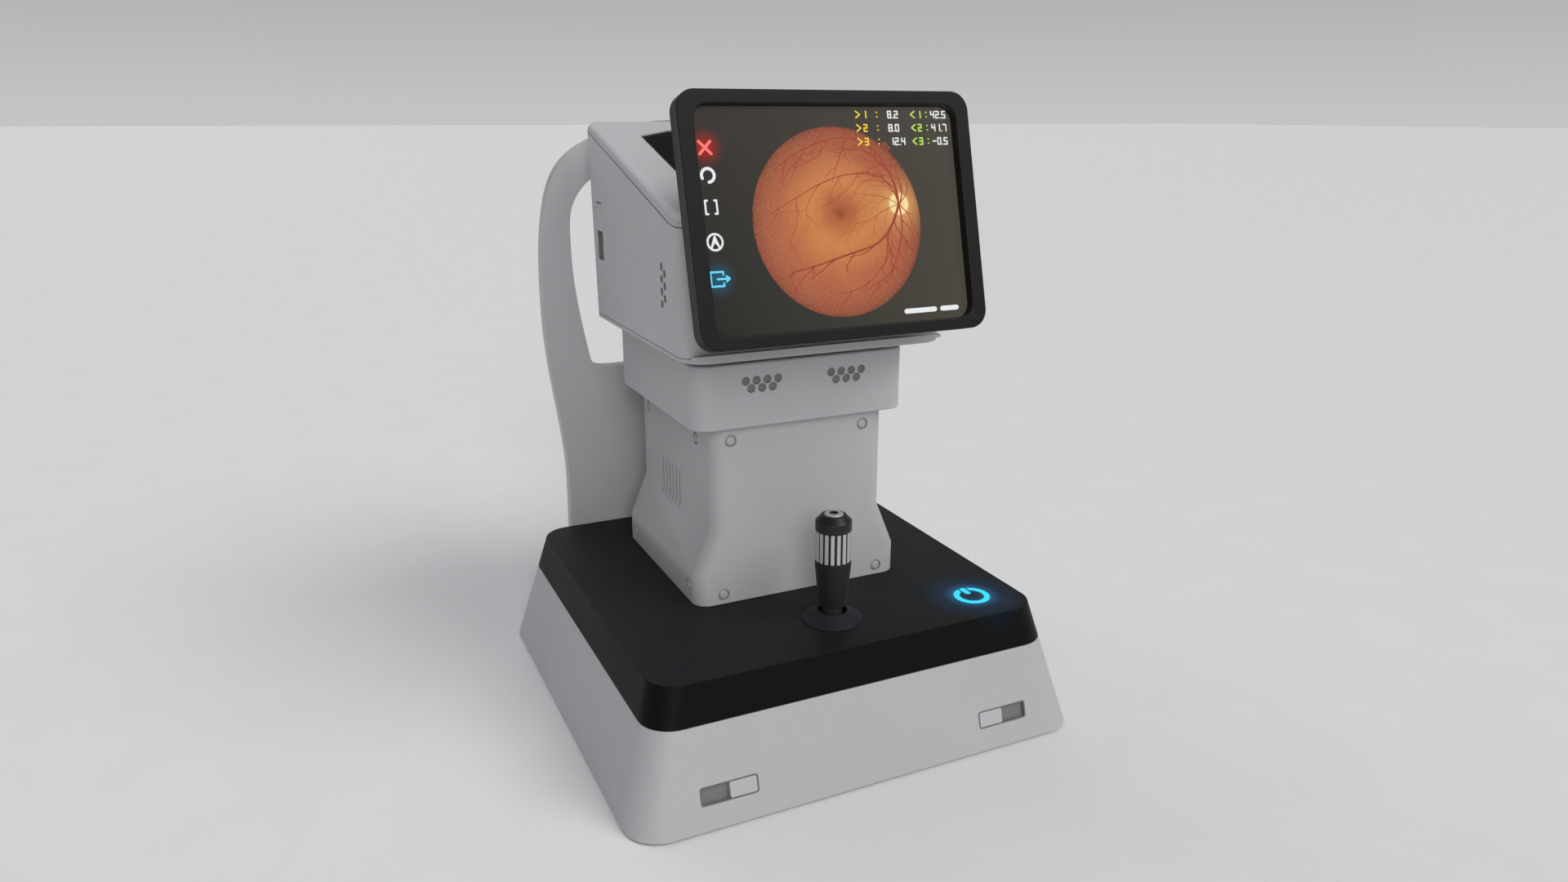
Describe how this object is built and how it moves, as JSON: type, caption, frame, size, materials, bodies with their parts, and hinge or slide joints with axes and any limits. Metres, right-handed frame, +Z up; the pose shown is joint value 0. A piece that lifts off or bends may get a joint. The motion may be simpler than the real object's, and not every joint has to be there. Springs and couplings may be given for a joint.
{
  "type": "auto refractor keratometer",
  "caption": "Table-top eye refractor with motorised measuring head, tilting touch display, joystick, and patient headrest with chin cup.",
  "frame": {"origin": "bottom centre of the whole instrument's bounding box, under the feet; the base's own centre is 16 mm towards the operator", "axes": "+Z up; the operator sits at -Y facing the display and the patient sits at +Y; +X is to the operator's right"},
  "size_m": [0.3592, 0.3936, 0.4699],
  "materials": {
    "white_shell": "satin",
    "black_deck": "satin",
    "black_plastic": "satin",
    "dark_track": "matte",
    "rubber": "matte",
    "pad_rubber": "matte",
    "steel_plate": "matte",
    "steel": "satin",
    "screw_steel": "satin",
    "aluminium": "satin",
    "motor_black": "matte",
    "circuit_board": "satin",
    "cyan_light": "glow",
    "screen": "glow",
    "clear_glass": "gloss",
    "lens_glass": "gloss",
    "chin_plastic": "satin",
    "rib_metal": "satin"
  },
  "bodies": {
    "base": {"base_housing": "white_shell", "base_plate": "steel_plate", "rubber_feet": "rubber", "machine_screws": "screw_steel", "top_deck": "black_deck", "power_light": "cyan_light", "connector_panel": "black_plastic", "power_inlet": "black_plastic", "power_supply": "steel_plate", "main_board": "circuit_board", "front_switch_tracks": "dark_track", "pillar_shell": "white_shell", "screw_caps": "white_shell", "pillar_frame": "steel_plate", "lift_rails": "steel", "lift_motor": "motor_black", "headrest_frame": "white_shell", "forehead_pad": "pad_rubber", "chin_lift_housing": "white_shell", "joystick_collar": "black_plastic", "gimbal_housing": "black_plastic"},
    "front_switch_left": {"front_switch_left": "white_shell"},
    "front_switch_right": {"front_switch_right": "white_shell"},
    "lift": {"lift_sleeve": "white_shell", "lift_carriage": "aluminium", "x_rails": "steel", "x_motor": "motor_black"},
    "lift_screw": {"lift_screw": "steel"},
    "x_screw": {"x_screw": "steel"},
    "cross_carriage": {"cross_carriage": "motor_black"},
    "head": {"head_tray": "white_shell", "head_shell": "white_shell", "head_top_cover": "white_shell", "roof_well": "black_plastic", "side_switch_track": "dark_track", "head_speakers": "black_plastic", "y_rails": "steel", "stage_plate": "aluminium", "y_motor": "motor_black", "optical_bench": "aluminium", "optical_barrel": "black_plastic", "objective_lens": "lens_glass", "camera_module": "motor_black", "display_bracket": "motor_black"},
    "y_screw": {"y_screw": "steel"},
    "side_switch": {"side_switch": "white_shell"},
    "display": {"display_bezel": "black_plastic", "display_glass": "clear_glass", "display_panel": "screen", "display_back_cover": "black_plastic", "hinge_pin": "steel"},
    "gimbal_ring": {"gimbal_ring": "aluminium"},
    "joystick": {"joystick_stem": "black_plastic", "joystick_grip": "black_plastic", "joystick_cap": "black_plastic"},
    "joystick_dial": {"joystick_dial": "rib_metal"},
    "joystick_button": {"joystick_button": "rib_metal"},
    "chin": {"chin_rest": "chin_plastic", "chin_post": "steel", "chin_paper_pins": "steel"}
  },
  "joints": [
    {"name": "head_lift", "type": "slide", "parent": "base", "child": "lift", "axis": [0, 0, 1], "range_m": [-0.015, 0.015]},
    {"name": "lift_screw_turn", "type": "hinge", "parent": "base", "child": "lift_screw", "pos_m": [0, 0.032, 0.18], "axis": [0, 0, 1], "range_deg": [-1080, 1080]},
    {"name": "head_side_travel", "type": "slide", "parent": "lift", "child": "cross_carriage", "axis": [1, 0, 0], "range_m": [-0.04, 0.04]},
    {"name": "x_screw_turn", "type": "hinge", "parent": "lift", "child": "x_screw", "pos_m": [-0.014, -0.006, 0.272], "axis": [1, 0, 0], "range_deg": [-2880, 2880]},
    {"name": "head_forward_travel", "type": "slide", "parent": "cross_carriage", "child": "head", "axis": [0, 1, 0], "range_m": [-0.02, 0.02]},
    {"name": "y_screw_turn", "type": "hinge", "parent": "head", "child": "y_screw", "pos_m": [0, 0.01, 0.315], "axis": [0, 1, 0], "range_deg": [-1440, 1440]},
    {"name": "display_tilt", "type": "hinge", "parent": "head", "child": "display", "pos_m": [0, -0.098, 0.412], "axis": [-1, 0, 0], "range_deg": [-12, 30]},
    {"name": "joystick_sideways", "type": "hinge", "parent": "base", "child": "gimbal_ring", "pos_m": [0, -0.1246, 0.092], "axis": [0, 1, 0], "range_deg": [-8, 8]},
    {"name": "joystick_forward", "type": "hinge", "parent": "gimbal_ring", "child": "joystick", "pos_m": [0, -0.1246, 0.092], "axis": [-1, 0, 0], "range_deg": [-8, 8]},
    {"name": "joystick_dial_turn", "type": "hinge", "parent": "joystick", "child": "joystick_dial", "pos_m": [0, -0.1246, 0.154], "axis": [0, 0, 1], "continuous": true},
    {"name": "joystick_button_press", "type": "slide", "parent": "joystick", "child": "joystick_button", "axis": [0, 0, -1], "range_m": [0, 0.0015], "stiffness_N_per_m": 600, "springref_m": -0.001},
    {"name": "front_switch_left_slide", "type": "slide", "parent": "base", "child": "front_switch_left", "axis": [1, 0, 0], "range_m": [-0.02, 0]},
    {"name": "front_switch_right_slide", "type": "slide", "parent": "base", "child": "front_switch_right", "axis": [1, 0, 0], "range_m": [0, 0.02]},
    {"name": "side_switch_slide", "type": "slide", "parent": "head", "child": "side_switch", "axis": [0, 0, 1], "range_m": [-0.0218, 0]},
    {"name": "chin_lift", "type": "slide", "parent": "base", "child": "chin", "axis": [0, 0, 1], "range_m": [0, 0.04]}
  ],
  "couplings": [
    {"joint": "lift_screw_turn", "follows": "head_lift", "rad_per_m": 1256.6},
    {"joint": "x_screw_turn", "follows": "head_side_travel", "rad_per_m": 1256.6},
    {"joint": "y_screw_turn", "follows": "head_forward_travel", "rad_per_m": -1256.6}
  ]
}
